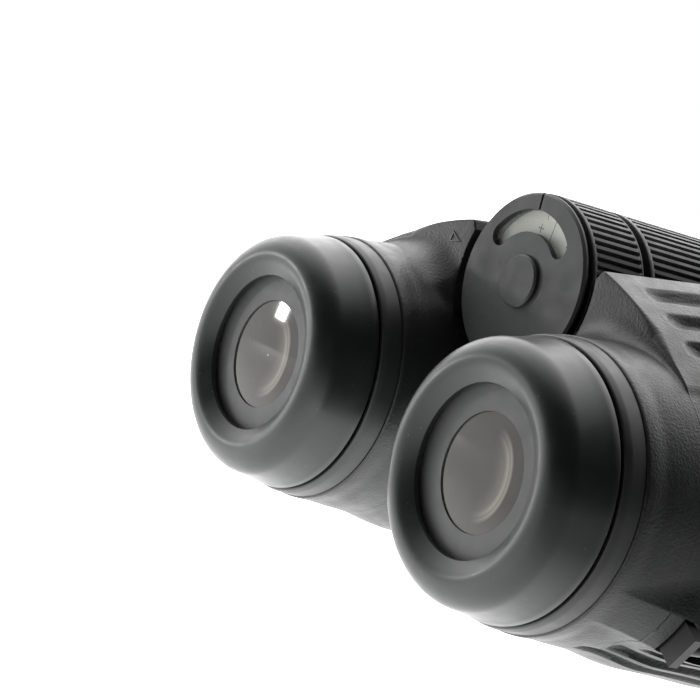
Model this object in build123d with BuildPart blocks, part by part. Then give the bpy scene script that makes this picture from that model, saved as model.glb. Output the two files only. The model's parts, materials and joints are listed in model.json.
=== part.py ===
from build123d import *
import os
from math import cos, radians, sin

# Full-size roof-prism binoculars, in millimetres. X points to the user's right, Y to the
# objectives, Z up. The origin is under the middle, on the surface the barrels lie on.
# Places along Y are stations, counted from the front edge of the pushed-in eyecups.

length = 145.8
eyecup_depth = 10.8
half_spacing = 31.4  # half the distance between the two optical axes
axis_height = 27.5  # optical axes over the surface
hinge_rise = 26.1  # hinge axis over the optical axes
skin = 1.9  # thickness of the rubber armour
running = 0.05  # radial play of a running fit
station_zero = eyecup_depth - length / 2
hinge_height = axis_height + hinge_rise
front_station = length - eyecup_depth

# Eyepiece
eyecup_radius = 22.0
eyecup_lip_radius = 13.25
eyepiece_face = -7.15  # station of the flat ring around the eye lens
eyepiece_radius = 16.5
eye_lens_radius = 9.27
sleeve_wall = 1.65
collar_start, collar_end = 0.9, 4.1
flange_start, flange_end = 9.3, 13.0
collar_bore = 18.7
flange_radius = 19.25

# Outer profile of the armoured barrel: (radius, station)
barrel_profile = [
    (22.95, 4.3), (23.7, 9.6), (24.1, 14.0), (24.3, 17.0), (25.6, 23.0), (26.1, 25.6), (26.5, 33.5),
    (27.4, 44.0), (27.5, 57.0), (26.6, 78.0), (26.1, 92.0), (27.1, 114.0), (27.5, 126.0), (27.5, 132.6),
]
housing_front = 133.0
prism_bore, prism_start, prism_end = 21.2, 23.0, 62.0
focus_bore, focus_end = 21.5, 104.0
objective_bore, objective_seat = 23.6, 113.0
objective_radius = 22.0
objective_mouth = 22.25  # bore in front of the lens, for a push-in cap or a filter

# Bridge, all radii about the hinge axis
cap_radius = 15.0
cap_face = 14.8
wheel_radius = 15.2
grip_wall = 1.6
groove_count = 64
diopter_start, diopter_end = 16.6, 27.9
wheel_start, wheel_end = 29.5, 53.6
wheel_well = 17.0  # round hollow of the shoulders around the wheel
knuckle_radius = 13.0
knuckle_core = 11.4
knuckle_gap = 0.3
axle_radius = 4.0
bush_radius = 9.5
spindle_radius = 6.5
shoulder_face = 15.4
right_knuckles = [(55.0, 63.0), (101.3, 107.0)]
left_knuckles = [(63.3, 71.0), (93.0, 101.0)]
cover_start, cover_end = 71.0, 93.0
carriage_middle = 82.0
arm_thickness = 3.9

# Grip grooves of the armour: (x, height at the rear, height at the front) on the shoulder, and
# angles round the barrel on its lower side
top_grooves = [(23.4, 32.5, 35.6), (29.9, 29.9, 32.8), (35.8, 26.9, 29.2)]
side_grooves = [-47.0, -56.0, -65.0]

# Strap lug, on the outer side of the barrel
lug_angle = -31.0
lug_start, lug_end = 18.5, 31.5
lug_floor, lug_top = 23.5, 30.0

sides = {"left": -1, "right": 1}
knuckles = {"left": left_knuckles, "right": right_knuckles}
os.makedirs("parts", exist_ok=True)


def at(station):
    """Y of a station."""
    return station_zero + station


def barrel_plane(side):
    """Plane whose origin is on the optical axis, with X radial and Y forward."""
    return Plane(origin=(sides[side] * half_spacing, 0, axis_height))


hinge_plane = Plane(origin=(0, 0, hinge_height))


def section_plane(station):
    """Upright plane across the object, with X to the right and Y up from the optical axes."""
    return Plane(origin=(0, at(station), axis_height), x_dir=(1, 0, 0), z_dir=(0, -1, 0))


def hinge_section(station):
    """Upright plane across the object, with X to the right and Y up from the hinge axis."""
    return Plane(origin=(0, at(station), hinge_height), x_dir=(1, 0, 0), z_dir=(0, -1, 0))


def turn(plane, outline, mode=Mode.ADD):
    """Turn an outline of (radius, station) points about the plane's Y axis."""
    with BuildSketch(plane) as profile:
        with BuildLine():
            Polyline(*[(radius, at(station)) for radius, station in outline], close=True)
        make_face()
    revolve(profile.sketch, axis=Axis(plane.origin, plane.y_dir), mode=mode)


def tube(plane, inner, outer, start, end, mode=Mode.ADD):
    """Turn a plain tube, or a rod where inner is 0."""
    turn(plane, [(inner, start), (outer, start), (outer, end), (inner, end)], mode)


def lens(plane, radius, rear, front, rear_bulge, front_bulge):
    """Turn a lens: rear and front are its edge's stations, and each bulge swells its face."""
    with BuildSketch(plane) as profile:
        with BuildLine():
            rear_face = lens_face(radius, rear, -rear_bulge)
            Line(rear_face @ 1, (radius, at(front)))
            front_face = lens_face(radius, front, front_bulge)
            Line(front_face @ 0, rear_face @ 0)
        make_face()
    revolve(profile.sketch, axis=Axis(plane.origin, plane.y_dir))


def lens_face(radius, station, rise):
    """Half of a lens face, from the axis to the edge, risen forward in the middle."""
    halfway = (radius * 0.5, at(station) + rise * 0.75)
    return ThreePointArc((0, at(station) + rise), halfway, (radius, at(station)))


def ring_sector(plane, inner, outer, first, sweep, middle_x=0.0, rounded=False):
    """Sketch of a sector of a ring from a first angle over a sweep, with straight or round ends."""
    half_width = (outer - inner) / 2
    with BuildSketch(plane) as sketch:
        with BuildLine():
            far = CenterArc((middle_x, 0), outer, first, sweep)
            near = CenterArc((middle_x, 0), inner, first, sweep)
            for end, way in ((0, -half_width), (1, half_width)):
                angle = radians(first + sweep * end)
                tip_x = middle_x + (inner + half_width) * cos(angle) - way * sin(angle)
                tip_y = (inner + half_width) * sin(angle) + way * cos(angle)
                if rounded:
                    ThreePointArc(far @ end, (tip_x, tip_y), near @ end)
                else:
                    Line(far @ end, near @ end)
        make_face()
    return sketch.sketch


def extrude_between(outline, start, end, mode=Mode.ADD):
    """Extrude an outline of (x, height over the optical axes) points from station to station."""
    with BuildSketch(section_plane(start)) as profile:
        with BuildLine():
            Polyline(*outline, close=True)
        make_face()
    extrude(profile.sketch, amount=start - end, mode=mode)


def barrel_outline(thickness, *front_edge):
    """Outline of the solid barrel with thickness taken off its radius, closed by its front edge."""
    outer = [(radius - thickness, station) for radius, station in barrel_profile]
    return [(0, outer[0][1]), *outer, *front_edge]


def shoulder_section(side, station, lift, inset, inner_edge):
    """Cross-section of the shoulder and bridge of one half, closed inside the barrel.

    The top runs from its ridge, convex, down to the barrel's side. Lift raises the ridge, inset
    leaves room for the armour, and the inner edge is the corner towards the hinge.
    """
    sign = sides[side]
    ridge = (sign * 17.3, 33.0 + lift - inset)
    middle = (sign * 28.6, 29.4 + lift * 0.85 - inset)
    foot = (sign * (half_spacing + 9.1 + lift * 0.18), (23.0 - inset) * (1 + lift * 0.025))
    corner = (sign * inner_edge[0], inner_edge[1] - inset)
    with BuildSketch(section_plane(station)) as section:
        with BuildLine():
            top = ThreePointArc(ridge, middle, foot)
            Polyline(top @ 1, (sign * half_spacing, 0), (sign * 12.0, 8.0), corner, top @ 0)
        make_face()
    return section.sketch


def bridge_side(side, inset, well, other_well):
    """Shoulder, knuckles and arms of one half, less the hollows for the wheel and the other half."""
    sign = sides[side]
    rear, front, nose = 54.4, 100.0, 115.0 - inset
    loft([shoulder_section(side, shoulder_face + inset, 0, inset, (13.8, 28.2)),
          shoulder_section(side, rear, 4.6, inset, (13.8, 32.8))])
    bridge_rear = shoulder_section(side, rear, 4.6, inset, (9.0, 38.7))
    extrude(bridge_rear, amount=rear - front)
    loft([shoulder_section(side, front, 4.6, inset, (9.0, 38.7)),
          shoulder_section(side, nose, -9.0, inset, (13.0, 22.0))])
    tube(hinge_plane, 0, well, cap_face - 2, rear, Mode.SUBTRACT)
    tube(hinge_plane, 0, other_well, rear, 116.0, Mode.SUBTRACT)
    radius = knuckle_radius if inset == 0 else knuckle_core
    for first, last in knuckles[side]:
        tube(hinge_plane, 0, radius, first, last)
        ridge_drop = max(0, last - front) * 0.7
        arm = [(0, hinge_rise + radius - ridge_drop), (sign * 9.0, 38.6 - inset - ridge_drop),
               (sign * 17.3, 37.4 - inset - ridge_drop), (sign * 30.0, 24.0), (sign * half_spacing, 0),
               (sign * 13.0, 12.0), (sign * 3.0, hinge_rise - radius + 0.2)]
        extrude_between(arm, first, last)


def other_barrel_clearance(side):
    """Take away what would touch the other barrel with the halves folded together."""
    folded = radians(2 * 6.9 + 0.4)
    sign = -sides[side]
    turned_x = sign * (half_spacing * cos(folded) - hinge_rise * sin(folded))
    turned_z = hinge_height - half_spacing * sin(folded) - hinge_rise * cos(folded)
    plane = Plane(origin=(turned_x, 0, turned_z))
    tube(plane, 0, 27.9, 54.0, front_station + 1, Mode.SUBTRACT)


def lug_plane(side):
    """Plane along the barrel through the strap lug, with X radial and Y forward."""
    angle = radians(lug_angle)
    outward = (sides[side] * cos(angle), 0, sin(angle))
    origin = (sides[side] * half_spacing, 0, axis_height)
    return Plane(origin=origin, x_dir=outward, z_dir=Vector(*outward).cross(Vector(0, 1, 0)))


def radial_block(side, outline, half_width, mode=Mode.ADD):
    """Block on the barrel's side at the strap lug, from (radius, station) points."""
    with BuildSketch(lug_plane(side)) as profile:
        with BuildLine():
            Polyline(*[(radius, at(station)) for radius, station in outline], close=True)
        make_face()
    extrude(profile.sketch, amount=half_width, both=True, mode=mode)


def arm_plane(side):
    """Plane across the hinge axis, with X pointing from the hinge axis to the optical axis."""
    toward = Vector(sides[side] * half_spacing, 0, -hinge_rise).normalized()
    return Plane(origin=(0, at(carriage_middle), hinge_height), x_dir=toward, z_dir=(0, -1, 0))


def arm_box(side, first, last, width, thickness, mode=Mode.ADD):
    """Straight bar between two distances from the hinge axis, towards the optical axis."""
    with BuildSketch(arm_plane(side)) as profile:
        with Locations(((first + last) / 2, 0)):
            Rectangle(last - first, width)
    extrude(profile.sketch, amount=thickness / 2, both=True, mode=mode)


def housing_core(side):
    """Outer form of the light-alloy housing, not yet hollow."""
    with BuildPart() as core:
        bridge_side(side, skin, wheel_well + 0.7, knuckle_radius + 1.2)
        front_radius = barrel_profile[-1][0] - skin
        turn(barrel_plane(side), barrel_outline(skin, (front_radius, housing_front), (0, housing_front)))
        tube(hinge_plane, 0, wheel_well + 0.7, cap_face - 2, 54.4, Mode.SUBTRACT)
        other_barrel_clearance(side)
        radial_block(side, [(lug_floor, lug_start), (40, lug_start), (40, lug_end), (lug_floor, lug_end)],
                     3.6, Mode.SUBTRACT)
    return core.part


def housing(side, core):
    """Light-alloy housing: the core with its bores and the slot for the focusing arm."""
    plane = barrel_plane(side)
    with BuildPart() as piece:
        add(core)
        tube(plane, 0, flange_radius + running, 4.0, flange_end, Mode.SUBTRACT)
        tube(plane, 0, 14.0, flange_end, 17.0, Mode.SUBTRACT)
        tube(plane, 0, 20.7, 17.0, prism_start, Mode.SUBTRACT)
        tube(plane, 0, prism_bore, prism_start, prism_end, Mode.SUBTRACT)
        tube(plane, 0, 17.0, prism_end, 64.0, Mode.SUBTRACT)
        tube(plane, 0, focus_bore, 64.0, focus_end, Mode.SUBTRACT)
        tube(plane, 0, 20.5, focus_end, objective_seat, Mode.SUBTRACT)
        tube(plane, 0, objective_bore, objective_seat, housing_front + 1, Mode.SUBTRACT)
        bore = bush_radius if side == "left" else bush_radius + running
        tube(hinge_plane, 0, bore, 54.0, 108.0, Mode.SUBTRACT)
        arm_box(side, 10.0, 25.0, 9.0, 15.0, Mode.SUBTRACT)
    return piece.part


def armour(side, core):
    """Rubber armour: a skin over the housing, with grip grooves and the hump of the strap lug."""
    plane = barrel_plane(side)
    sign = sides[side]
    with BuildPart() as piece:
        bridge_side(side, 0, wheel_well, knuckle_radius + 0.5)
        turn(plane, barrel_outline(0, (27.0, 134.2), (26.0, front_station), (0, front_station)))
        radial_block(side, [(20, 9), (29.6, lug_start), (29.6, lug_end), (20, 46)], 6.0)
        tube(hinge_plane, 0, wheel_well, cap_face - 2, 54.4, Mode.SUBTRACT)
        other_barrel_clearance(side)
        radial_block(side, [(lug_floor, lug_start), (40, lug_start), (40, lug_end), (lug_floor, lug_end)],
                     3.6, Mode.SUBTRACT)
        tube(plane, 0, 24.3, housing_front, front_station + 1, Mode.SUBTRACT)
        add(core, mode=Mode.SUBTRACT)
        arm_box(side, 10.0, 25.0, 9.0, 15.0, Mode.SUBTRACT)
        for x, rear_height, front_height in top_grooves:
            groove((sign * x, 21.5, rear_height), (sign * x, 52.0, front_height), 1.5)
        for angle in side_grooves:
            across, down = cos(radians(angle)), sin(radians(angle))
            rear = (sign * (half_spacing + 25.7 * across), 24.0, 25.7 * down)
            front = (sign * (half_spacing + 27.8 * across), 52.0, 27.8 * down)
            groove(rear, front, 1.1)
    return piece.part


def groove(rear, front, radius):
    """Take a round-ended groove out, between two (x, station, height over the axes) points."""
    start, end = [Vector(x, at(station), axis_height + height) for x, station, height in (rear, front)]
    with BuildSketch(Plane(origin=start, z_dir=end - start)) as disc:
        Circle(radius)
    extrude(disc.sketch, amount=(end - start).length, mode=Mode.SUBTRACT)
    for point in (start, end):
        with Locations(point):
            Sphere(radius, mode=Mode.SUBTRACT)


def eyecup(side):
    """Soft eyecup: a cone with a broad round rim and a funnel down to its inner lip."""
    plane = barrel_plane(side)
    sleeve = eyepiece_radius + running + sleeve_wall
    with BuildPart() as piece:
        with BuildSketch(plane) as profile:
            with BuildLine():
                wall = Polyline((sleeve, at(0)), (eyecup_radius, at(0)), (21.5, at(-2.2)), (20.6, at(-6.1)))
                rim = ThreePointArc(wall @ 1, (19.25, at(-9.5)), (16.6, at(-eyecup_depth)))
                funnel = ThreePointArc(rim @ 1, (14.7, at(-10.0)), (eyecup_lip_radius, at(-8.2)))
                Polyline(funnel @ 1, (13.6, at(-7.9)), (sleeve, at(-7.9)), wall @ 0)
            make_face()
        revolve(profile.sketch, axis=Axis(plane.origin, plane.y_dir))
    return piece.part


def eyecup_sleeve(side):
    """Stiff sleeve inside the eyecup, which slides on the eyepiece tube."""
    with BuildPart() as piece:
        inner = eyepiece_radius + running
        tube(barrel_plane(side), inner, inner + sleeve_wall, -7.9, 9.0)
    return piece.part


def collar(side):
    """Smooth collar behind the eyecup. Its spigot clamps the eyepiece flange."""
    with BuildPart() as piece:
        turn(barrel_plane(side), [(collar_bore, collar_start), (22.4, collar_start), (22.75, 1.3),
                                  (22.95, collar_end), (flange_radius, collar_end),
                                  (flange_radius, flange_start), (collar_bore, flange_start)])
    return piece.part


def eyepiece_tube(side):
    """Metal eyepiece tube with its flange, the flat ring around the eye lens and the lens seats."""
    with BuildPart() as piece:
        turn(barrel_plane(side), [(eye_lens_radius + 0.03, eyepiece_face), (16.1, eyepiece_face),
                                  (eyepiece_radius, -6.7), (eyepiece_radius, flange_start),
                                  (flange_radius, flange_start), (flange_radius, flange_end),
                                  (12.0, flange_end), (12.0, -1.0), (eye_lens_radius + 0.03, -1.0)])
    return piece.part


def field_stop(side):
    """Blackened ring that bounds the field of view and holds the field lens."""
    with BuildPart() as piece:
        turn(barrel_plane(side), [(11.0, 7.2), (11.95, 7.2), (11.95, 12.0),
                                  (8.6, 12.0), (8.6, 11.4), (11.0, 11.4)])
    return piece.part


def prism_cage(side):
    """Cage that carries both prisms in the barrel: a tube with a stop at each end."""
    plane = barrel_plane(side)
    with BuildPart() as piece:
        tube(plane, 0, 20.6, 18.0, 60.0)
        tube(plane, 0, 19.1, 19.5, 58.5, Mode.SUBTRACT)
        tube(plane, 0, 11.5, 17.0, 61.0, Mode.SUBTRACT)
    return piece.part


def prism(side, outline, roofed):
    """Glass prism from an outline of (station, height) points, its lower side a roof if roofed."""
    side_plane = Plane(origin=(sides[side] * half_spacing, 0, axis_height), x_dir=(0, 1, 0), z_dir=(1, 0, 0))
    with BuildPart() as piece:
        with BuildSketch(side_plane) as profile:
            with BuildLine():
                Polyline(*[(at(station), height) for station, height in outline], close=True)
            make_face()
        extrude(profile.sketch, amount=12.0, both=True)
        if roofed:
            middle = sides[side] * half_spacing
            for flank in (-1, 1):
                extrude_between([(middle, -12.0), (middle + flank * 13, -12.1), (middle + flank * 13, 0.0)],
                                20.0, 60.0, Mode.SUBTRACT)
    return piece.part


def focus_arm(side):
    """Focusing arm: a fork in the carriage's groove, a bar, and a ring around the lens cell."""
    plane = barrel_plane(side)
    start, end = carriage_middle - arm_thickness / 2, carriage_middle + arm_thickness / 2
    with BuildPart() as piece:
        tube(plane, 19.5 + running, 20.9, start, end)
        arm_box(side, 9.4, 20.6, 7.0, arm_thickness)
        extrude(ring_sector(arm_plane(side), 8.1, 10.6, -40, 80), amount=arm_thickness / 2, both=True)
    return piece.part


def focus_cell(side):
    """Cell of the focusing lens, a tube with a stop."""
    with BuildPart() as piece:
        turn(barrel_plane(side), [(17.0, 77.0), (19.5, 77.0), (19.5, 87.0),
                                  (16.0, 87.0), (16.0, 84.5), (17.0, 84.5)])
    return piece.part


def objective_cell(side):
    """Cell of the objective, with a seat behind the lens and a groove for the seal."""
    radius = objective_bore - running
    with BuildPart() as piece:
        turn(barrel_plane(side), [(20.5, objective_seat), (radius, objective_seat), (radius, 128.5),
                                  (22.8, 128.5), (22.8, 129.6), (radius, 129.6), (radius, housing_front),
                                  (objective_mouth, housing_front), (objective_mouth, 124.0),
                                  (objective_radius, 124.0), (objective_radius, 114.2), (20.5, 114.2)])
    return piece.part


def objective_ring(side):
    """Threaded ring that holds the objective in its cell."""
    with BuildPart() as piece:
        tube(barrel_plane(side), 20.8, objective_radius - 0.03, 122.6, 124.0)
    return piece.part


def objective_seal(side):
    """O-ring between the objective cell and the housing."""
    plane = barrel_plane(side)
    with BuildPart() as piece:
        with BuildSketch(plane) as profile:
            with Locations((23.19, at(129.05))):
                Circle(0.38)
        revolve(profile.sketch, axis=Axis(plane.origin, plane.y_dir))
    return piece.part


def strap_lug(side):
    """Steel strap lug: a base under the armour, two ears and the bar the strap goes round."""
    bar = lug_top - 1.4
    with BuildPart() as piece:
        radial_block(side, [(lug_floor, lug_start), (lug_top, lug_start),
                            (lug_top, lug_end), (lug_floor, lug_end)], 3.2)
        radial_block(side, [(lug_floor + 0.8, lug_start + 1.8), (40, lug_start + 1.8),
                            (40, lug_end - 1.8), (lug_floor + 0.8, lug_end - 1.8)], 4.0, Mode.SUBTRACT)
        with BuildSketch(lug_plane(side)) as profile:
            with BuildLine():
                Polyline((bar, at(lug_start + 0.5)), (bar + 1.1, at(lug_start + 0.5)),
                         (bar + 1.1, at(lug_end - 0.5)), (bar, at(lug_end - 0.5)), close=True)
            make_face()
        bar_at = lug_plane(side).from_local_coords(Vector(bar, 0, 0))
        revolve(profile.sketch, axis=Axis(bar_at, (0, 1, 0)))
    return piece.part


def grooved_grip(start, end, rear_rim, front_rim):
    """Ribbed rubber grip: a tube with grooves along it, between two smooth rims."""
    with BuildPart() as piece:
        tube(hinge_plane, wheel_radius - grip_wall, wheel_radius, start, end)
        with BuildSketch(hinge_section(start + rear_rim)) as cuts:
            with PolarLocations(wheel_radius, groove_count):
                Rectangle(1.3, 0.56)
        extrude(cuts.sketch, amount=start + rear_rim + front_rim - end, mode=Mode.SUBTRACT)
    return piece.part


def focus_wheel_core():
    """Core of the focusing wheel: a rim and a web on a hub that runs on the axle."""
    rim = wheel_radius - grip_wall
    hub = axle_radius + running
    with BuildPart() as piece:
        turn(hinge_plane, [(hub, 30.0), (rim, 30.0), (rim, 53.4), (rim - 1.8, 53.4), (rim - 1.8, 33.0),
                           (8.0, 33.0), (8.0, 53.4), (hub, 53.4)])
    return piece.part


def diopter_core():
    """Core of the diopter ring, with a recess for the scale disc."""
    with BuildPart() as piece:
        turn(hinge_plane, [(8.0 + running, 18.4), (13.0, 18.4), (13.0, diopter_start),
                           (wheel_radius - grip_wall, diopter_start), (wheel_radius - grip_wall, 27.7),
                           (8.0 + running, 27.7)])
    return piece.part


def rear_cap():
    """Round cap behind the wheel: crescent window, index groove, seat of the plug, and its boss."""
    with BuildPart() as piece:
        turn(hinge_plane, [(0, cap_face), (14.6, cap_face), (cap_radius, 15.2), (cap_radius, 15.6),
                           (12.95, 15.6), (12.95, 16.5), (5.8, 16.5), (5.8, 17.0), (0, 17.0)])
        tube(hinge_plane, 0, 4.5, 14.0, 16.0, Mode.SUBTRACT)
        tube(hinge_plane, 0, 1.3, 15.0, 18.0, Mode.SUBTRACT)
        window = ring_sector(hinge_section(cap_face), 8.2, 12.0, 47, 97, -0.6, True)
        extrude(window, amount=-3.0, mode=Mode.SUBTRACT)
        extrude(pane_sketch(), amount=-3.0, mode=Mode.SUBTRACT)
        with BuildSketch(hinge_section(cap_face)) as index:
            with Locations(Location((13.8 * cos(radians(96)), 13.8 * sin(radians(96))), 96)):
                Rectangle(3.4, 0.5)
        extrude(index.sketch, amount=-0.4, mode=Mode.SUBTRACT)
    return piece.part


def pane_sketch():
    """Outline of the window pane, in the plane of its rear face."""
    return ring_sector(hinge_section(cap_face + 1.1), 7.0, 12.75, 26, 138)


def window_pane():
    """Clear pane under the crescent window."""
    with BuildPart() as piece:
        extrude(pane_sketch(), amount=-0.6)
    return piece.part


def bridge_cover():
    """Tube over the focusing carriage, with an opening on each side for the focusing arms."""
    with BuildPart() as piece:
        tube(hinge_plane, knuckle_core + 0.2, knuckle_radius, cover_start, cover_end)
        for first, sweep in ((194, 52), (280, 96)):
            opening = ring_sector(hinge_section(carriage_middle - 7.7), 10, 16, first, sweep)
            extrude(opening, amount=-15.4, mode=Mode.SUBTRACT)
    return piece.part


def turned_piece(*outline):
    """Piece turned about the hinge axis."""
    with BuildPart() as piece:
        turn(hinge_plane, outline)
    return piece.part


def hinge_bushes():
    """Two bushes the knuckles sit on: the rear one around the spindle, the front one on the axle."""
    with BuildPart() as piece:
        tube(hinge_plane, 7.0, bush_radius, 55.0, 71.0)
        tube(hinge_plane, axle_radius + 0.02, bush_radius, 93.0, 107.0)
    return piece.part


def hinge_washers():
    """Thin thrust washers between the knuckles."""
    with BuildPart() as piece:
        for first in (63.02, 101.02):
            tube(hinge_plane, bush_radius + 0.1, knuckle_core - 0.1, first, first + knuckle_gap - 0.04)
    return piece.part


def lens_piece(side, radius, rear, front, rear_bulge, front_bulge):
    """One lens on the optical axis."""
    with BuildPart() as piece:
        lens(barrel_plane(side), radius, rear, front, rear_bulge, front_bulge)
    return piece.part


def save(name, part):
    """Label a piece and write it."""
    part.label = name
    export_step(part, f"parts/{name}.step")


half_prism_outline = [(37.4, 12.0), (47.4, -12.0), (57.5, -12.0), (57.5, 12.0)]
roof_prism_outline = [(21.0, 12.0), (36.6, 12.0), (46.6, -12.0), (30.0, -12.0), (21.0, -3.0)]

for side in sides:
    core = housing_core(side)
    save(f"{side}_barrel_housing", housing(side, core))
    save(f"{side}_barrel_armour", armour(side, core))
    save(f"{side}_eyecup", eyecup(side))
    save(f"{side}_eyecup_sleeve", eyecup_sleeve(side))
    save(f"{side}_eyepiece_collar", collar(side))
    save(f"{side}_eyepiece_tube", eyepiece_tube(side))
    save(f"{side}_field_stop", field_stop(side))
    save(f"{side}_eye_lens", lens_piece(side, eye_lens_radius, -6.9, -2.0, 0.35, 0.9))
    save(f"{side}_field_lens", lens_piece(side, 11.95, 2.2, 6.4, 1.8, 0.5))
    save(f"{side}_prism_cage", prism_cage(side))
    save(f"{side}_half_prism", prism(side, half_prism_outline, False))
    save(f"{side}_roof_prism", prism(side, roof_prism_outline, True))
    save(f"{side}_focus_arm", focus_arm(side))
    save(f"{side}_focus_cell", focus_cell(side))
    save(f"{side}_focus_lens", lens_piece(side, 16.95, 79.6, 83.6, -1.0, -1.0))
    save(f"{side}_objective_cell", objective_cell(side))
    save(f"{side}_objective_rear_lens", lens_piece(side, objective_radius - 0.03, 114.4, 118.0, -0.8, -1.6))
    save(f"{side}_objective_front_lens", lens_piece(side, objective_radius - 0.03, 118.05, 121.0, 1.6, 1.5))
    save(f"{side}_objective_ring", objective_ring(side))
    save(f"{side}_objective_seal", objective_seal(side))
    save(f"{side}_strap_lug", strap_lug(side))

save("hinge_axle", turned_piece((1.25, 17.0), (axle_radius, 17.0), (axle_radius, 108.0), (3.0, 108.0),
                                (3.0, 111.5), (0, 111.5), (0, 26.0), (1.25, 26.0)))
save("hinge_bushes", hinge_bushes())
save("hinge_washers", hinge_washers())
save("bridge_cover", bridge_cover())
save("hinge_nut", turned_piece((3.03, 108.05), (7.5, 108.05), (7.5, 110.6), (3.03, 110.6)))
save("front_hinge_cap", turned_piece((8.2, 107.1), (12.9, 107.1), (12.9, 112.0), (12.0, 113.0), (0, 113.0),
                                     (0, 111.8), (8.2, 111.8)))
save("rear_cap", rear_cap())
save("window_pane", window_pane())
save("cap_screw", turned_piece((0, 15.2), (3.0, 15.2), (3.0, 15.98), (1.22, 15.98), (1.22, 25.0), (0, 25.0)))
save("cap_plug", turned_piece((0, 13.9), (4.1, 13.9), (4.42, 14.2), (4.42, 15.1), (0, 15.1)))
save("diopter_scale", turned_piece((6.1, 17.6), (12.9, 17.6), (12.9, 18.38), (6.1, 18.38)))
save("diopter_core", diopter_core())
save("diopter_grip", grooved_grip(diopter_start, diopter_end, 0.8, 0.4))
save("clutch_sleeve", turned_piece((axle_radius + running, 18.6), (8.0, 18.6), (8.0, 29.2),
                                   (axle_radius + running, 29.2)))
save("focus_wheel_core", focus_wheel_core())
save("focus_wheel_grip", grooved_grip(wheel_start, wheel_end, 0.9, 0.7))
save("focus_spindle", turned_piece((axle_radius + running, 53.4), (spindle_radius, 53.4),
                                   (spindle_radius, 91.5), (axle_radius + running, 91.5)))
save("focus_carriage", turned_piece((spindle_radius + running, 78.0), (10.8, 78.0), (10.8, 80.0), (8.0, 80.0),
                                    (8.0, 84.0), (10.8, 84.0), (10.8, 86.0),
                                    (spindle_radius + running, 86.0)))
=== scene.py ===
"""Binoculars: rubber armour, eyecups, wheel grips and scale, finishes, camera and studio."""
import json
from math import pi, radians

import bpy
import numpy as np
from mathutils import Matrix, Vector


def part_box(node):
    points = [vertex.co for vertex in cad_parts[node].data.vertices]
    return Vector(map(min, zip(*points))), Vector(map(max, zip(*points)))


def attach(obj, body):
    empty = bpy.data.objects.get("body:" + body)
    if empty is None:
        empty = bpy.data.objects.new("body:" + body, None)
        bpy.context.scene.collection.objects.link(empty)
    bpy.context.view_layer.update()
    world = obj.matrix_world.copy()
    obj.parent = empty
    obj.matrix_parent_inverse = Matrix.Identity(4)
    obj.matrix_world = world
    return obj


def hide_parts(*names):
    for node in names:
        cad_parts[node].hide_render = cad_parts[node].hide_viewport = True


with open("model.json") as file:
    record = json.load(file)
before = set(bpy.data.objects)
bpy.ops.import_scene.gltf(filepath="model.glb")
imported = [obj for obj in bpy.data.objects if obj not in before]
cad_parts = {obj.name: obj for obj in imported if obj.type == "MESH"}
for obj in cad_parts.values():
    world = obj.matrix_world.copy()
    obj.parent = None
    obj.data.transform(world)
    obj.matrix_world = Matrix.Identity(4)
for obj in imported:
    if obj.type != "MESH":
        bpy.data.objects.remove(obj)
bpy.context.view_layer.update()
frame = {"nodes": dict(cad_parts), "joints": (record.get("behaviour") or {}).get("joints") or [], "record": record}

# Lengths are in millimetres until place() turns them into metres in the CAD's frame. A station is
# the distance along Y from the front edge of the pushed-in eyecups.
MM = 0.001
cup_low, cup_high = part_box("right_eyecup")
HALF_SPACING = (cup_low.x + cup_high.x) / 2 / MM
AXIS_HEIGHT = (cup_low.z + cup_high.z) / 2 / MM
STATION_ZERO = cup_high.y / MM
HINGE_HEIGHT = next(j for j in frame["joints"] if j["name"] == "interpupillary")["pos_m"][2] / MM
HINGE_RISE = HINGE_HEIGHT - AXIS_HEIGHT
SIDES = {"left": -1, "right": 1}


# ---------------------------------------------------------------- mesh helpers

def place(centre_x, centre_z, across, up, station):
    """Points in metres from offsets across and up from an axis along Y."""
    across, up, station = np.broadcast_arrays(across, up, station)
    return np.stack([centre_x + across, STATION_ZERO + station, centre_z + up], -1) * MM


def build(name, vertices, faces, sharp=40):
    """Mesh object from points and faces, wound outward, smooth but for edges over the sharp angle."""
    mesh = bpy.data.meshes.new(name)
    mesh.from_pydata(vertices.tolist(), [], faces)
    mesh.update()
    corners = np.array([v.co for v in mesh.vertices])
    mesh.calc_loop_triangles()
    tris = corners[np.array([t.vertices for t in mesh.loop_triangles])]
    if np.einsum("ij,ij->i", tris[:, 0], np.cross(tris[:, 1], tris[:, 2])).sum() < 0:
        mesh.flip_normals()
    mesh.polygons.foreach_set("use_smooth", [True] * len(mesh.polygons))
    mesh.set_sharp_from_angle(angle=radians(sharp))
    piece = bpy.data.objects.new(name, mesh)
    bpy.context.scene.collection.objects.link(piece)
    return piece


def ring_faces(rings, count, joined):
    """Quads between rings of count points each; joined closes the last ring on the first."""
    faces = []
    for i in range(rings if joined else rings - 1):
        a, b = i * count, (i + 1) % rings * count
        faces += [(a + j, a + (j + 1) % count, b + (j + 1) % count, b + j) for j in range(count)]
    return faces


def loop_solid(name, rings, sharp=40):
    """Closed solid from rings (ring, point, xyz), the last of which meets the first."""
    rings = np.asarray(rings)
    return build(name, rings.reshape(-1, 3), ring_faces(rings.shape[0], rings.shape[1], True), sharp)


def capped_solid(name, rings, sharp=40):
    """Closed solid from rings (ring, point, xyz), with a face over the first and the last."""
    rings = np.asarray(rings)
    number, count = rings.shape[:2]
    faces = ring_faces(number, count, False)
    faces += [tuple(range(count)), tuple(reversed(range((number - 1) * count, number * count)))]
    return build(name, rings.reshape(-1, 3), faces, sharp)


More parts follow.
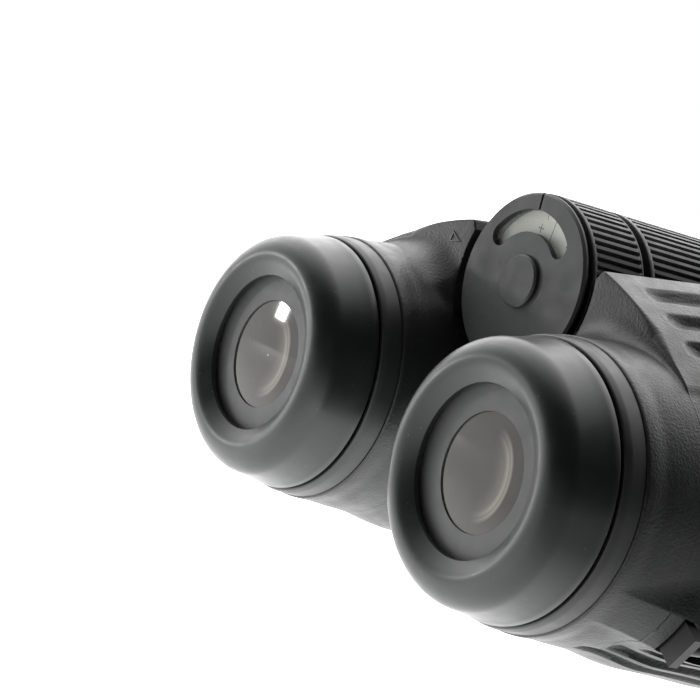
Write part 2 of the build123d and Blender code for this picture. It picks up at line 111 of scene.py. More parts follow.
def rounded(corners, steps=5):
    """Outline of (radius, station, rounding) corners as points, with an arc at each rounded corner."""
    points = []
    for i, (r, s, size) in enumerate(corners):
        here = np.array([r, s], float)
        if size == 0:
            points.append(here)
            continue
        before = np.array(corners[i - 1][:2], float) - here
        after = np.array(corners[(i + 1) % len(corners)][:2], float) - here
        start = here + before / np.linalg.norm(before) * size
        end = here + after / np.linalg.norm(after) * size
        for t in np.linspace(0, 1, steps):
            points.append((1 - t) ** 2 * start + 2 * t * (1 - t) * here + t ** 2 * end)
    return np.array(points)


def lathe(name, axis, corners, segments=192, sharp=40):
    """Closed ring turned about an axis (x, z) along Y, from (radius, station, rounding) corners."""
    outline = rounded(corners)
    angle = np.arange(segments) / segments * 2 * pi
    radius, station = outline[:, :1], outline[:, 1:]
    rings = place(*axis, radius * np.cos(angle), radius * np.sin(angle), station)
    return loop_solid(name, rings, sharp)


def smooth_step(x):
    """Rise from 0 to 1 as x does, level at both ends."""
    x = np.clip(x, 0, 1)
    return x * x * (3 - 2 * x)


def soft_min(a, b, size):
    """Lesser of a and b, rounded where they meet."""
    h = np.clip(0.5 + (b - a) / (2 * size), 0, 1)
    return b * (1 - h) + a * h - size * h * (1 - h)


def soft_max(a, b, size):
    """Greater of a and b, rounded where they meet."""
    return -soft_min(-a, -b, size)


# ---------------------------------------------------------------- armour

# Plain barrel from the neck to the objective end, as (radius, station)
BARREL = np.array([
    (22.95, 4.3), (23.7, 9.6), (24.1, 14.0), (24.3, 17.0), (25.6, 23.0), (26.1, 25.6), (26.5, 33.5),
    (27.4, 44.0), (27.5, 57.0), (26.6, 78.0), (26.1, 92.0), (27.1, 114.0), (27.5, 126.0), (27.5, 140.0),
])
# Front rim, the bore of the rim, and the inside of the skin, as (radius, station)
SKIN_INSIDE = [
    (27.45, 133.4), (27.1, 134.2), (26.5, 134.8), (26.0, 135.0), (24.8, 135.0), (24.4, 134.7),
    (24.3, 134.2), (24.3, 120.0), (23.7, 100.0), (23.7, 60.0), (22.1, 20.0), (21.3, 4.6), (21.5, 4.3),
    (22.75, 4.3), (22.87, 4.33),
]
# Stations of the neck's rear edge, the flat face beside the wheel, the end of the wheel's hollow, and
# the front of the bridge and of its nose
NECK_START, SHOULDER_FACE, WELL_END, BRIDGE_FRONT, NOSE = 4.42, 15.4, 54.4, 100.0, 115.0
SHOULDER_FROM, SHOULDER_TO = 50.0, 177.0  # angles round the barrel that the shoulder covers
LIFT = 4.6  # how far the ridge of the shoulder rises from the face to the bridge
FACE_LEAN = 0.06  # how far the face leans back and forward of its station
WHEEL_WELL, KNUCKLE_WELL = 17.0, 13.25  # radii of the hollows about the hinge axis
FAR = 1e3  # where a direction meets nothing
# Strap lug on the lower outer side of each barrel: the pocket it stands in, and the hump round it
LUG_ANGLE, LUG_START, LUG_END, LUG_FLOOR = -31.0, 18.5, 31.5, 23.5
LUG_HALF_WIDTH, LUG_EDGE = 3.75, 0.3
HUMP_START, HUMP_END, HUMP_HEIGHT, HUMP_HALF_WIDTH = 10.0, 47.0, 2.4, 3.4
# Grooves on the shoulder as (x, height at the rear, height at the front), the station where they start,
# and the station of those rear heights and how far ahead of it the front ones are
TOP_GROOVES = [(23.4, 32.5, 35.6), (29.9, 29.9, 32.8), (35.8, 26.9, 29.2)]
TOP_GROOVE_START, TOP_GROOVE_REAR, TOP_GROOVE_RUN = 20.0, 21.5, 30.5
SIDE_GROOVES = [(-44.0, 18.5), (-53.5, 15.5), (-62.5, 12.5)]  # (angle, station of the rear end)
GROOVES_END = 53.0
# Steps of the armour's points in degrees, as (from, to, step), closer at the shoulder, grooves and lug
ANGLE_SPANS = [(-180, -78, 1.5), (-78, -12, 0.45), (-12, 62, 1.3), (62, 110, 0.45), (110, 124, 0.22),
               (124, 170, 0.8), (170, 180, 1.2)]
# Steps of its rows forward of the shoulder's face, as (up to station, step)
ROW_SPANS = [(18.0, 0.35), (34.0, 0.5), (WELL_END - 0.4, 1.0)]


def barrel_radius(station):
    """Radius of the plain barrel, its profile softened over a few millimetres."""
    return sum(np.interp(station + d, BARREL[:, 1], BARREL[:, 0]) * w
               for d, w in ((-2.0, 0.25), (0.0, 0.5), (2.0, 0.25)))


def chord(direction, a, b):
    """Distance from the barrel's axis along a direction to the line through a and b."""
    along = (b[0] - a[0], b[1] - a[1])
    facing = direction[0] * along[1] - direction[1] * along[0]
    reach = (a[0] * along[1] - a[1] * along[0]) / np.where(abs(facing) < 1e-6, 1e-6, facing)
    return np.where((facing > 0) & (reach > 0), reach, FAR)


def circle_reach(direction, a, b, c):
    """Distance from the barrel's axis along a direction to the far side of the circle through a, b, c."""
    (ax, ay), (bx, by), (cx, cy) = a, b, c
    twice = 2 * (ax * (by - cy) + bx * (cy - ay) + cx * (ay - by))
    a2, b2, c2 = ax * ax + ay * ay, bx * bx + by * by, cx * cx + cy * cy
    ox = (a2 * (by - cy) + b2 * (cy - ay) + c2 * (ay - by)) / twice
    oy = (a2 * (cx - bx) + b2 * (ax - cx) + c2 * (bx - ax)) / twice
    size2 = (ax - ox) ** 2 + (ay - oy) ** 2
    along = ox * direction[0] + oy * direction[1]
    return along + np.sqrt(np.maximum(along ** 2 - (ox ** 2 + oy ** 2 - size2), 0))


def ramp(station, values):
    """Value at a station between (station, value) points."""
    stations, amounts = zip(*values)
    return np.interp(station, stations, amounts)


def shoulder_radius(angle, station):
    """Radius of the shoulder: arched top, ridge, and wall to the hinge, fading out at both sides."""
    direction = np.cos(np.radians(angle)), np.sin(np.radians(angle))
    lift = ramp(station, [(SHOULDER_FACE, 0), (WELL_END, LIFT), (BRIDGE_FRONT, LIFT), (NOSE, -9.0)])
    ridge = 17.3 - HALF_SPACING, 33.0 + lift
    middle = 28.6 - HALF_SPACING, 29.4 + 0.85 * lift
    foot = 9.1 + 0.18 * lift, 23.0 * (1 + 0.025 * lift)
    edge = ramp(station, [(WELL_END - 0.1, 13.8), (WELL_END, 9.0), (BRIDGE_FRONT, 9.0), (NOSE, 13.0)])
    edge_height = ramp(station, [(SHOULDER_FACE, 28.2), (WELL_END - 0.1, 32.8), (WELL_END, 38.7),
                                 (BRIDGE_FRONT, 38.7), (NOSE, 22.0)])
    corner = edge - HALF_SPACING, edge_height
    base = 12.0 - HALF_SPACING, 8.0 + 0 * lift
    top = circle_reach(direction, ridge, middle, foot)
    rounding = ramp(station, [(SHOULDER_FACE, 0.5), (30.0, 1.2)])
    wall = soft_min(chord(direction, ridge, corner), chord(direction, corner, base), 0.8)
    inside = smooth_step((angle - SHOULDER_FROM) / 12.0) * smooth_step((SHOULDER_TO - angle) / 10.0)
    fading = 4.0 - 4.0 * inside
    covered = (angle > SHOULDER_FROM) & (angle < SHOULDER_TO)
    return np.where(covered, soft_min(top, wall, rounding) - fading, 0)


def well_radius(angle, station):
    """Distance to the round hollow about the hinge axis, for the wheel or the other half's knuckles."""
    distance = np.hypot(HALF_SPACING, HINGE_RISE)
    turned = np.radians(angle) - np.arctan2(HINGE_RISE, -HALF_SPACING)
    radius = np.where(station < WELL_END, WHEEL_WELL, KNUCKLE_WELL)
    inside = radius ** 2 - (distance * np.sin(turned)) ** 2
    hits = (inside > 0) & (np.cos(turned) > 0) & (station < NOSE + 1)
    return np.where(hits, distance * np.cos(turned) - np.sqrt(np.maximum(inside, 0)), FAR)


def trough(across, station, start, width, depth, wall=0.55):
    """Depth of a groove with a round, ramped rear end; across is the distance from its middle."""
    half = width / 2
    tip = np.clip((station - start) / half, 0, 1)
    room = half * np.sqrt(np.maximum(tip * (2 - tip), 0))
    end = smooth_step((GROOVES_END - station) / 2.5)
    slope = (0.25 + 0.75 * smooth_step((station - start) / 5.5)) * smooth_step((station - start) / 0.7)
    return depth * slope * end * smooth_step((room - abs(across)) / wall + 0.5)


def relief(angle, station, radius):
    """What stands on or is cut into the armour: grip grooves and the strap lug's hump."""
    height = np.zeros_like(radius)
    travel = (station - TOP_GROOVE_REAR) / TOP_GROOVE_RUN
    for x, rear_height, front_height in TOP_GROOVES:
        middle = np.degrees(np.arctan2(rear_height + (front_height - rear_height) * travel,
                                       x - HALF_SPACING))
        height -= trough(np.radians(angle - middle) * radius, station, TOP_GROOVE_START, width=2.9,
                         depth=1.5)
    for middle, start in SIDE_GROOVES:
        height -= trough(np.radians(angle - middle) * radius, station, start, width=2.5, depth=1.3)
    aside = abs(np.radians(angle - LUG_ANGLE) * radius)
    rise = np.minimum(0.26 * (station - HUMP_START), HUMP_HEIGHT) * smooth_step((HUMP_END - station) / 14.0)
    hump = rise - 0.62 * np.maximum(0, aside - HUMP_HALF_WIDTH)
    return height + soft_max(hump, 0 * hump - 0.3, 1.2) * smooth_step((station - 5.5) / 3.0)


def armour_radius(angle, station):
    """Outer radius of the armour about the barrel's axis, before the hollow round the wheel is cut."""
    plain = barrel_radius(station)
    whole = soft_max(plain, shoulder_radius(angle, station), 1.6)
    whole = np.where((station > NOSE) | (station < SHOULDER_FACE), plain, whole)
    whole = whole + relief(angle, station, whole)
    aside = abs(np.radians(angle - LUG_ANGLE) * whole)
    pocket = smooth_step((LUG_HALF_WIDTH - aside) / LUG_EDGE)
    pocket = pocket * smooth_step((station - LUG_START + LUG_EDGE) / LUG_EDGE)
    pocket = pocket * smooth_step((LUG_END + LUG_EDGE - station) / LUG_EDGE)
    return whole + (LUG_FLOOR + 0.02 - whole) * pocket


def armour(side):
    """Rubber skin of one barrel: neck, shoulder face, ridge, grooves, hump and front rim."""
    angle = np.concatenate([np.arange(a, b - step / 3, step) for a, b, step in ANGLE_SPANS])
    # Height of the shoulder's face over the neck, and what the fillet under it and its rounded top take
    neck = barrel_radius(SHOULDER_FACE)
    step = np.maximum(armour_radius(angle, SHOULDER_FACE + 1.0) - neck, 0)
    step = step * smooth_step((angle - 54.0) / 10.0) * smooth_step((172.0 - angle) / 8.0)
    fillet = soft_min(0.62 * step, 5.0 + 0 * step, 1.5)
    turn_over = np.minimum(0.35 + 1.6 * smooth_step((101.0 - angle) / 24.0), 0.45 * step)
    roll = np.maximum(turn_over, 0.3)
    rows = []
    start_of_fillet = SHOULDER_FACE - np.hypot(fillet, 0.8)
    # Neck
    for t in np.linspace(0, 1, 20)[:-1]:
        station = NECK_START + (start_of_fillet - NECK_START) * t
        rows.append((armour_radius(angle, station), station))
    # Fillet up to the face
    for t in np.linspace(0, pi / 2, 9):
        station = start_of_fillet + (SHOULDER_FACE - start_of_fillet - FACE_LEAN) * np.sin(t)
        low = barrel_radius(station) + relief(angle, station, barrel_radius(station))
        rows.append((low + fillet * (1 - np.cos(t)), station))
    # Face
    bottom = rows[-1][0]
    station = SHOULDER_FACE + roll
    crest = armour_radius(angle, station)
    for t in np.linspace(0, 1, 7)[1:]:
        height = bottom + (crest - turn_over - bottom) * t
        rows.append((height, SHOULDER_FACE - FACE_LEAN + 2 * FACE_LEAN * t + 0 * angle))
    # Rounded turn over the top of the face
    for t in np.linspace(0, pi / 2, 6)[1:]:
        here = SHOULDER_FACE + FACE_LEAN + (roll - FACE_LEAN) * (1 - np.cos(t))
        rows.append((crest - turn_over * (1 - np.sin(t)), here))
    # Shoulder beside the wheel, then bridge and barrel
    for end, spacing in ROW_SPANS:
        count = int(np.ceil((end - station.mean()) / spacing))
        for t in np.linspace(0, 1, count + 1)[1:]:
            here = station + (end - station) * t
            rows.append((armour_radius(angle, here), here))
        station = end + 0 * angle
    for here in [WELL_END - 0.02, WELL_END + 0.02, *np.arange(55.4, 133.0, 1.6), 132.6]:
        rows.append((armour_radius(angle, here + 0 * angle), here + 0 * angle))
    rows = [(np.minimum(radius, well_radius(angle, here)), here) for radius, here in rows]
    rows += [(radius + 0 * angle, here + 0 * angle) for radius, here in SKIN_INSIDE]
    radius, station = (np.array(part) for part in zip(*rows))
    sign = SIDES[side]
    across, up = radius * np.cos(np.radians(angle)), radius * np.sin(np.radians(angle))
    rings = place(sign * HALF_SPACING, AXIS_HEIGHT, sign * across, up, station)
    return loop_solid(f"{side}_armour", rings, 58)


# ---------------------------------------------------------------- turned rubber and metal

def arc(centre, reach, start, end):
    """Corners along an elliptical arc about (radius, station), from start to end in degrees."""
    steps = np.radians(np.arange(start, end, 8))
    return [(centre[0] + reach[0] * np.cos(t), centre[1] - reach[1] * np.sin(t), 0) for t in steps]


def eyecup(side):
    """Soft eyecup: cone, broad round rim, and a funnel down to the inner lip."""
    axis = SIDES[side] * HALF_SPACING, AXIS_HEIGHT
    sleeve_low, sleeve_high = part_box(f"{side}_eyecup_sleeve")
    bore = (sleeve_high.x - sleeve_low.x) / 2 / MM
    cone = [(bore, -0.25, 0), (bore + 0.3, 0.0, 0), (21.6, 0.0, 0), (21.9, -0.1, 0), (22.0, -0.4, 0),
            (21.5, -2.2, 0.8)]
    wall = arc((15.45, -6.1), (5.3, 4.75), 0, 51)
    crest = arc((16.81, -7.02), (3.4, 3.4), 56, 121)
    funnel = [(13.3, -8.95, 0.1), (13.25, -8.2, 0.12), (13.6, -7.9, 0.1), (bore, -7.9, 0)]
    return lathe(f"{side}_eyecup_rubber", axis, cone + wall + crest + funnel, 256, 50)


def collar(side):
    """Smooth collar that fills the gap between the eyecup and the armour."""
    axis = SIDES[side] * HALF_SPACING, AXIS_HEIGHT
    outline = [(18.7, 0.9, 0), (21.5, 0.9, 0), (21.6, 0.45, 0.1), (22.25, 0.45, 0.25), (22.6, 1.5, 0.3),
               (22.8, 4.1, 0), (19.25, 4.1, 0), (19.25, 9.0, 0), (18.7, 9.0, 0)]
    return lathe(f"{side}_collar", axis, outline)


def ribbed_grip(name, start, end, rims, wall=1.6, radius=15.2, ribs=64):
    """Rubber grip ring with rounded lengthwise ribs between two smooth rims."""
    per_rib = 10
    angle = np.arange(ribs * per_rib) / (ribs * per_rib) * 2 * pi
    phase = np.arange(ribs * per_rib) % per_rib / per_rib
    groove = 0.62 * (1 - smooth_step(abs(phase - 0.5) / 0.2 - 0.45))
    # (radius, station, share of the groove's depth), round the ring's section
    rows = [(radius - 0.25, start, 0), (radius - 0.06, start + 0.07, 0), (radius, start + 0.25, 0),
            (radius, start + rims[0] - 0.15, 0), (radius - 0.04, start + rims[0], 0.1),
            (radius, start + rims[0] + 0.2, 0.8), (radius, start + rims[0] + 0.5, 1.0),
            (radius, end - rims[1] - 0.5, 1.0), (radius, end - rims[1] - 0.2, 0.8),
            (radius - 0.04, end - rims[1], 0.1), (radius, end - rims[1] + 0.15, 0),
            (radius, end - 0.25, 0), (radius - 0.06, end - 0.07, 0), (radius - 0.25, end, 0),
            (radius - wall, end, 0), (radius - wall, start, 0)]
    rings = []
    for r, s, share in rows:
        size = r - groove * share
        rings.append(place(0, HINGE_HEIGHT, size * np.cos(angle), size * np.sin(angle), s))
    return loop_solid(name, rings, 50)


KNUCKLE_OUTER, KNUCKLE_INNER = 13.0, 11.45
# Arm from the top of a knuckle to the shoulder and back to its underside, as (x, height) from the hinge
KNUCKLE_ARM = [(0.0, KNUCKLE_OUTER), (9.0, 12.5), (14.5, 11.5), (17.5, 2.0), (17.5, -8.0), (13.4, -13.6),
               (3.0, -12.75)]


def knuckles(side, spans):
    """Rubber over this half's hinge knuckles, with the arms that join them to the shoulder."""
    heading = np.arange(0, 360, 1.5)
    angle = np.radians(heading)
    direction = np.cos(angle), np.sin(angle)
    pieces = []
    for number, (start, end, drop) in enumerate(spans):
        corners = [(x, z - drop * (z > 5)) for x, z in KNUCKLE_ARM]
        reach = np.full_like(angle, FAR)
        for a, b in zip(corners, corners[1:]):
            reach = np.minimum(reach, chord(direction, b, a))
        on_arm = ((heading < 89.9) | (heading > 283.3)) & (reach < FAR)
        knuckle = KNUCKLE_OUTER - drop * (heading < 180)
        size = np.where(on_arm, np.maximum(reach, KNUCKLE_OUTER - drop), knuckle)
        bore = KNUCKLE_INNER + 0 * size
        rows = [(size - 0.7, start), (size - 0.2, start + 0.12), (size, start + 0.5), (size, end - 0.5),
                (size - 0.2, end - 0.12), (size - 0.7, end), (bore, end), (bore, start)]
        rings = [place(0, HINGE_HEIGHT, SIDES[side] * r * np.cos(angle), r * np.sin(angle), s)
                 for r, s in rows]
        pieces.append(loop_solid(f"{side}_hinge_knuckle_{number + 1}", rings, 40))
    return pieces


def plate(name, outline, start, end):
    """Thin flat piece facing back: an outline of (x, height over the hinge axis) between stations."""
    x, up = np.array(outline, float).T
    rings = [place(0, HINGE_HEIGHT, x, up, station) for station in (start, end)]
    return capped_solid(name, rings, 30)


def bar(angle, near, far, width):
    """Outline of a radial bar on the scale, from near to far from the hinge axis."""
    outward = np.array((np.cos(radians(angle)), np.sin(radians(angle))))
    aside = np.array((-outward[1], outward[0])) * width / 2
    return [outward * near - aside, outward * far - aside, outward * far + aside, outward * near + aside]


def plus(angle, radius, size, width):
    """Outline of a plus sign on the scale."""
    middle = radius * np.array((np.cos(radians(angle)), np.sin(radians(angle))))
    a, b = size / 2, width / 2
    corners = [(b, b), (b, a), (-b, a), (-b, b), (-a, b), (-a, -b), (-b, -b), (-b, -a), (b, -a), (b, -b),
               (a, -b), (a, b)]
    return [middle + np.array(corner) for corner in corners]


def triangle_mark():
    """Small raised outline of a triangle on the left shoulder's face."""
    back, front = 15.22, 15.5
    outer = np.array([(-21.6, 29.6), (-22.0, 27.5), (-18.9, 28.3)])
    inner = outer.mean(0) + (outer - outer.mean(0)) * 0.62
    rings = [place(0, AXIS_HEIGHT, *edge.T, station) for edge, station in
             ((outer, front), (outer, back), (inner, back), (inner, front))]
    return loop_solid("left_triangle_mark", rings, 30)


# ---------------------------------------------------------------- finishes

# The finishes below stand in for the plain materials that the CAD nodes come with
for plain in list(bpy.data.materials):
    bpy.data.materials.remove(plain)


def add_node(tree, kind, inputs, **settings):
    """Shader node with its settings made, then its inputs linked to sockets or set to values."""
    node = tree.nodes.new(kind)
    for name, value in settings.items():
        setattr(node, name, value)
    for name, value in inputs.items():
        if isinstance(value, bpy.types.NodeSocket):
            tree.links.new(value, node.inputs[name])
        else:
            node.inputs[name].default_value = value
    return node


def map_range(tree, source, start, end, low, high, curve="LINEAR"):
    """Socket that takes source from start..end to low..high."""
    limits = {"Value": source, "From Min": start, "From Max": end, "To Min": low, "To Max": high}
    return add_node(tree, "ShaderNodeMapRange", limits, interpolation_type=curve).outputs["Result"]


def colour_ramp(tree, source, stops):
    """Socket with source's colour on a ramp of (position, (red, green, blue)) stops."""
    node = add_node(tree, "ShaderNodeValToRGB", {"Fac": source})
    elements = node.color_ramp.elements
    for element, (position, colour) in zip(elements, (stops[0], stops[-1])):
        element.position = position
        element.color = (*colour, 1)
    for position, colour in stops[1:-1]:
        elements.new(position).color = (*colour, 1)
    return node.outputs["Color"]


def mixed_colour(tree, share, first, second):
    """Socket with the first colour, turning into the second as the share grows."""
    colours = {"Factor": share, "A": first, "B": second}
    return add_node(tree, "ShaderNodeMix", colours, data_type="RGBA").outputs["Result"]


def vector_math(tree, operation, *inputs):
    """Outputs of a vector maths node."""
    return add_node(tree, "ShaderNodeVectorMath", dict(enumerate(inputs)), operation=operation).outputs


def product(tree, first, second):
    """Socket with the product of two sockets."""
    return add_node(tree, "ShaderNodeMath", {0: first, 1: second}, operation="MULTIPLY").outputs["Value"]


def object_place(tree):
    """Socket with the place on the object, of the coordinates node that each finish has."""
    return next(n for n in tree.nodes if n.bl_idname == "ShaderNodeTexCoord").outputs["Object"]


def finish_of(name, colour, roughness, grain=None, fine=None, spread=0.12, dust=0.0, **shader):
    """Procedural finish: uneven colour and gloss, with grain and fine bumps of (size mm, height mm)."""
    material = bpy.data.materials.new(name)
    material.use_nodes = True
    tree = material.node_tree
    surface = tree.nodes["Principled BSDF"]
    where = tree.nodes.new("ShaderNodeTexCoord").outputs["Object"]

    def noise(size, detail=3.0):
        inputs = {"Scale": 1 / (size * MM), "Detail": detail, "Vector": where}
        return add_node(tree, "ShaderNodeTexNoise", inputs).outputs["Fac"]

    def cells(size, inputs, **settings):
        inputs = {**inputs, "Scale": 1 / (size * MM), "Vector": where}
        return add_node(tree, "ShaderNodeTexVoronoi", inputs, **settings).outputs["Distance"]

    darker, lighter = ([min(1.0, c * share) for c in colour] for share in (1 - spread, 1 + spread))
    shade = colour_ramp(tree, noise(9.0, 4.0), [(0.3, darker), (0.7, lighter)])
    if dust:
        specks = map_range(tree, cells(1.7, {}), 0.0, 0.06, dust, 0.0)
        shade = mixed_colour(tree, specks, shade, (0.35, 0.35, 0.34, 1))
    tree.links.new(shade, surface.inputs["Base Color"])
    gloss = map_range(tree, noise(3.0), 0.3, 0.7, roughness * 0.88, min(1.0, roughness * 1.12))
    tree.links.new(gloss, surface.inputs["Roughness"])
    bumps = []
    if grain is not None:
        size, height = grain
        bumps.append((cells(size, {"Smoothness": 0.6}, feature="SMOOTH_F1"), height))
    if fine is not None:
        size, height = fine
        bumps.append((noise(size, 2.0), height))
    normal = None
    for texture, height in bumps:
        inputs = {"Strength": 1.0, "Distance": height * MM, "Height": texture}
        if normal is not None:
            inputs["Normal"] = normal
        normal = add_node(tree, "ShaderNodeBump", inputs).outputs["Normal"]
    if normal is not None:
        tree.links.new(normal, surface.inputs["Normal"])
    for socket, value in shader.items():
        surface.inputs[socket.replace("_", " ")].default_value = value
    return material


ARMOUR = finish_of("armour_rubber", (0.008, 0.009, 0.009), 0.42, (0.40, 0.045), (0.15, 0.010))
SMOOTH = finish_of("smooth_rubber", (0.013, 0.014, 0.014), 0.42, None, (0.35, 0.006))
CUP = finish_of("eyecup_rubber", (0.008, 0.0095, 0.0095), 0.34, None, (0.3, 0.004), dust=0.6)
WHEEL = finish_of("wheel_rubber", (0.012, 0.013, 0.013), 0.45, None, (0.25, 0.008))
SEAL = finish_of("seal_rubber", (0.015, 0.015, 0.015), 0.5, None, (0.3, 0.004))
CAP = finish_of("cap_plastic", (0.030, 0.032, 0.031), 0.5, (0.22, 0.02), (0.12, 0.008))
BLACK = finish_of("black_plastic", (0.02, 0.021, 0.021), 0.42, None, (0.2, 0.006))
WHITE = finish_of("white_plastic", (0.62, 0.64, 0.56), 0.45, None, (0.4, 0.003), spread=0.04)
MARK = finish_of("scale_mark", (0.16, 0.17, 0.15), 0.5, None, (0.3, 0.002))
CLEAR = finish_of("clear_plastic", (0.80, 0.82, 0.78), 0.12, None, None, spread=0.01, Alpha=0.14, IOR=1.49)
PLATE = finish_of("scale_plate", (0.84, 0.86, 0.76), 0.5, None, (0.4, 0.002), spread=0.04)
ALLOY = finish_of("light_alloy", (0.03, 0.03, 0.03), 0.4, None, (0.3, 0.01), Metallic=0.3)
ANODISED = finish_of("black_anodised", (0.018, 0.018, 0.019), 0.38, None, (0.15, 0.006), Metallic=0.4)
STEEL = finish_of("steel", (0.55, 0.55, 0.56), 0.28, None, (0.2, 0.004), Metallic=1.0)
BRASS = finish_of("brass", (0.62, 0.45, 0.2), 0.3, None, (0.2, 0.004), Metallic=1.0)
GLASS = finish_of("glass", (0.055, 0.052, 0.045), 0.04, None, None, spread=0.15, Alpha=0.75, IOR=1.6)
COATED = finish_of("coated_glass", (0.034, 0.031, 0.027), 0.05, None, None, spread=0.30, Alpha=1.0,
                   IOR=1.5)
FACE = finish_of("eyepiece_face", (0.075, 0.078, 0.076), 0.55, None, (0.2, 0.008))
INNER = finish_of("inner_element", (0.060, 0.052, 0.043), 0.05, None, None, spread=0.25, IOR=1.8)
# Every finish that is named by a slot
FINISHES = {m.name: m for m in (ARMOUR, SMOOTH, CUP, WHEEL, SEAL, CAP, BLACK, WHITE, CLEAR, PLATE, ALLOY,
                                ANODISED, STEEL, BRASS, GLASS, COATED)}


# Painted reflection in an eye lens: a pale arc that stands in for the bright side mirrored in the curved
# element behind it. How far right of the lens's middle it is centred, how much heights count beside widths,
# the reach that its stops are shares of, the width over which it comes in on the right, and its greatest
# share in the colour
ARC_ASIDE, ARC_FLATNESS, ARC_REACH, ARC_FADE, ARC_SHARE = 0.2, 0.85, 9.5, 5.5, 0.9
PAINTED_REFLECTION_COLOUR = (0.36, 0.34, 0.29, 1)
ARC_STOPS = [(0.0, 0.0), (0.30, 0.12), (0.50, 0.30), (0.57, 0.75), (0.61, 0.4), (0.64, 0.65), (0.69, 0.0),
             (1.0, 0.0)]


def eye_glass(side):
    """Coated glass of an eye lens, with a pale arc painted in as the reflection of light in the curved element
    cemented behind it.
    """
    material = COATED.copy()
    material.name = f"{side}_eye_glass"
    tree = material.node_tree
    base = tree.nodes["Principled BSDF"].inputs["Base Color"]
    middle = SIDES[side] * HALF_SPACING * MM + ARC_ASIDE * MM, 0, AXIS_HEIGHT * MM
    off = vector_math(tree, "SUBTRACT", object_place(tree), middle)["Vector"]
    flat = vector_math(tree, "MULTIPLY", off, (1.0, 0.0, ARC_FLATNESS))["Vector"]
    reach = vector_math(tree, "LENGTH", flat)["Value"]
    # Painted reflection: a pale arc of colour on the lens, coming in to the right of its middle
    painted_reflection_arc = colour_ramp(tree, map_range(tree, reach, 0.0, ARC_REACH * MM, 0.0, 1.0),
                       [(position, (amount, amount, amount)) for position, amount in ARC_STOPS])
    aside = add_node(tree, "ShaderNodeSeparateXYZ", {0: off}).outputs["X"]
    half = map_range(tree, aside, 0.0, ARC_FADE * MM, 0.0, ARC_SHARE, "SMOOTHSTEP")
    shade = mixed_colour(tree, product(tree, painted_reflection_arc, half), base.links[0].from_socket, PAINTED_REFLECTION_COLOUR)
    tree.links.new(shade, base)
    return material


def dress(piece, slot, body, *stands_for):
    """Give a new piece its finish and its body, and hide the CAD nodes it stands for."""
    piece.data.materials.append(FINISHES[slot])
    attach(piece, body)
    if stands_for:
        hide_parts(*stands_for)
    return piece


slot_of_node = {row["node"]: row["material_slot"] for row in frame["record"]["subparts"]}

for side in SIDES:
    dress(armour(side), "armour_rubber", f"{side}_half", f"{side}_barrel_armour")
    dress(eyecup(side), "eyecup_rubber", f"{side}_eyecup_unit", f"{side}_eyecup")
    dress(collar(side), "smooth_rubber", f"{side}_half", f"{side}_eyepiece_collar")
# Knuckles as (start, end, how far their upper side lies below the full radius)
for knuckle in knuckles("right", [(55.0, 63.0, 0), (101.3, 107.0, 2.5)]):
    dress(knuckle, "armour_rubber", "right_half")
for knuckle in knuckles("left", [(63.3, 71.0, 0), (93.0, 101.0, 0.5)]):
    dress(knuckle, "armour_rubber", "left_half")
dress(ribbed_grip("focus_grip", 29.5, 53.6, (0.9, 0.9)), "wheel_rubber", "focus_wheel", "focus_wheel_grip")
dress(ribbed_grip("diopter_grip_ring", 16.6, 27.9, (0.8, 0.5)), "wheel_rubber", "diopter_ring",
      "diopter_grip")

# Marks on the scale under the rear cap's window, and the stations between which they stand proud
SCALE_MARKS = {
    "scale_line": bar(87, 6.6, 12.5, 0.16),
    "scale_short_line": bar(99, 10.9, 12.5, 0.12),
    "scale_plus": plus(106, 9.5, 1.5, 0.2),
    "scale_minus": bar(58, 8.9, 10.2, 0.18),
}
MARK_BACK, MARK_FRONT = 17.56, 17.64
for name, outline in SCALE_MARKS.items():
    mark = dress(plate(name, outline, MARK_BACK, MARK_FRONT), "scale_plate", "diopter_ring")
    mark.data.materials[0] = MARK
dress(triangle_mark(), "armour_rubber", "left_half").data.materials[0] = SMOOTH

for node, piece in frame["nodes"].items():
    piece.data.materials.clear()
    piece.data.materials.append(FINISHES[slot_of_node[node]])
for side in SIDES:
    frame["nodes"][f"{side}_field_lens"].data.materials[0] = INNER
    frame["nodes"][f"{side}_eye_lens"].data.materials[0] = eye_glass(side)
    frame["nodes"][f"{side}_eyepiece_tube"].data.materials[0] = FACE
    frame["nodes"][f"{side}_strap_lug"].data.materials[0] = ANODISED

# ---------------------------------------------------------------- camera

CAMERA_X, CAMERA_OVER_AXIS, CAMERA_STATION = 281.56, 51.09, -224.27
CAMERA_RIGHT, CAMERA_FORWARD = (0.53842, 0.78315, 0.31110), (-0.79523, 0.59434, -0.11984)

camera_data = bpy.data.cameras.new("camera")
camera_data.lens = 116.2
camera_data.sensor_width = 36.0
camera = bpy.data.objects.new("camera", camera_data)
right = Vector(CAMERA_RIGHT).normalized()
forward = Vector(CAMERA_FORWARD).normalized()
above = right.cross(forward).normalized()
facing = Matrix((right, above, -forward)).transposed().to_4x4()
stand = place(CAMERA_X, AXIS_HEIGHT + CAMERA_OVER_AXIS, 0, 0, CAMERA_STATION)
camera.matrix_world = Matrix.Translation(stand) @ facing
bpy.context.scene.collection.objects.link(camera)
bpy.context.scene.camera = camera

# ---------------------------------------------------------------- studio

FLOOR_REACH = 3.0  # metres from the middle of the floor to its sides
SUN_HEADING = (0.45, -0.3, -1.0)
BRIGHT_SIDE = (-0.82, 0.5, 0.28)  # direction from which most light comes

floor_mesh = bpy.data.meshes.new("floor")
floor_corners = [(x * FLOOR_REACH, y * FLOOR_REACH, 0) for x, y in ((-1, -1), (1, -1), (1, 1), (-1, 1))]
floor_mesh.from_pydata(floor_corners, [], [(0, 1, 2, 3)])
floor = bpy.data.objects.new("floor", floor_mesh)
paper = finish_of("floor_paper", (0.55, 0.55, 0.55), 0.8, None, (0.6, 0.01), spread=0.01,
                  Emission_Color=(1, 1, 1, 1))
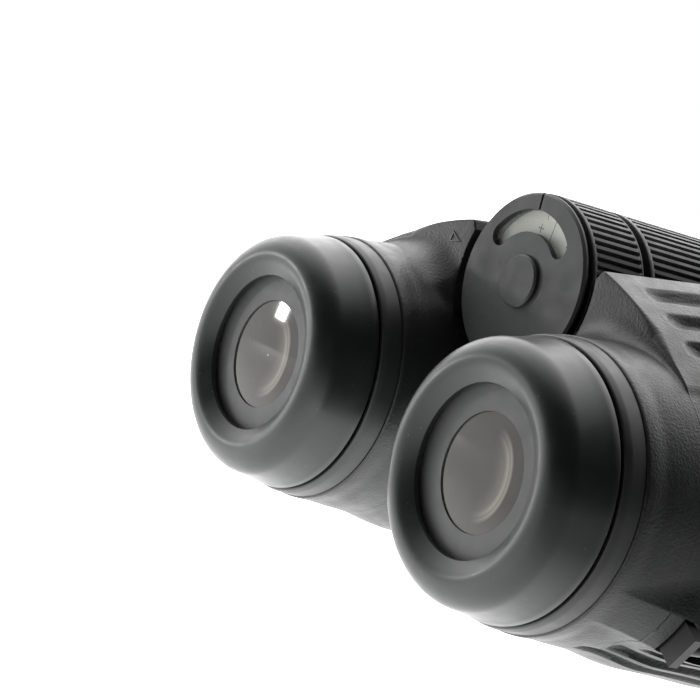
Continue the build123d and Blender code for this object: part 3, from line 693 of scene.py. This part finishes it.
# The paper glows, except to the right of the object (X), and less beyond its eyepieces (-Y)
tree = paper.node_tree
paper_place = add_node(tree, "ShaderNodeSeparateXYZ", {0: object_place(tree)}).outputs
glow_by_x = map_range(tree, paper_place["X"], 0.035, 0.10, 2.4, 0.0, "SMOOTHSTEP")
glow_by_y = map_range(tree, paper_place["Y"], -0.17, -0.07, 0.36, 1.0, "SMOOTHSTEP")
tree.links.new(product(tree, glow_by_x, glow_by_y), tree.nodes["Principled BSDF"].inputs["Emission Strength"])
floor_mesh.materials.append(paper)
bpy.context.scene.collection.objects.link(floor)

sun = bpy.data.lights.new("overhead", "SUN")
sun.energy = 0.5
sun.angle = radians(90)
lamp = bpy.data.objects.new("overhead", sun)
lamp.rotation_euler = Vector(SUN_HEADING).to_track_quat("-Z", "Y").to_euler()
bpy.context.scene.collection.objects.link(lamp)

# A small lamp on the left, on the eyepieces' side, that the left eye lens mirrors as a bright spot
SPOT_ASIDE, SPOT_UP = 0.75 * MM, 8.3 * MM  # place of the spot from the middle of the lens
LENS_BEND = 123 * MM  # radius of the lens's rear surface
SPOT_REACH = 0.25  # metres from the spot to the lamp
lens_low, lens_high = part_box("left_eye_lens")
spot = Vector(((lens_low.x + lens_high.x) / 2 + SPOT_ASIDE, lens_low.y,
               (lens_low.z + lens_high.z) / 2 + SPOT_UP))
outward = Vector((SPOT_ASIDE, -LENS_BEND, SPOT_UP)).normalized()
bounced = (spot - camera.matrix_world.translation).normalized().reflect(outward)
small = bpy.data.lights.new("lens_lamp", "AREA")
small.size = 0.014
small.energy = 0.06
holder = bpy.data.objects.new("lens_lamp", small)
holder.location = spot + bounced * SPOT_REACH
holder.rotation_euler = (-bounced).to_track_quat("-Z", "Y").to_euler()
bpy.context.scene.collection.objects.link(holder)

# Bright paper behind and to the left of the object, and the dark room on the other side. The camera
# itself sees plain white.
world = bpy.data.worlds.new("studio")
world.use_nodes = True
tree = world.node_tree
tree.nodes.clear()
towards = add_node(tree, "ShaderNodeTexCoord", {}).outputs["Generated"]
bright_share = vector_math(tree, "DOT_PRODUCT", towards, Vector(BRIGHT_SIDE).normalized())["Value"]
brightness = map_range(tree, bright_share, -0.06, 1.0, 0.03, 4.2, "SMOOTHSTEP")
room = add_node(tree, "ShaderNodeBackground", {"Strength": brightness})
backdrop = add_node(tree, "ShaderNodeBackground", {"Color": (1, 1, 1, 1), "Strength": 1.0})
seen = add_node(tree, "ShaderNodeLightPath", {}).outputs["Is Camera Ray"]
mix = add_node(tree, "ShaderNodeMixShader",
               {"Fac": seen, 1: room.outputs["Background"], 2: backdrop.outputs["Background"]})
add_node(tree, "ShaderNodeOutputWorld", {"Surface": mix.outputs["Shader"]})
bpy.context.scene.world = world
bpy.context.scene.view_settings.view_transform = "Standard"
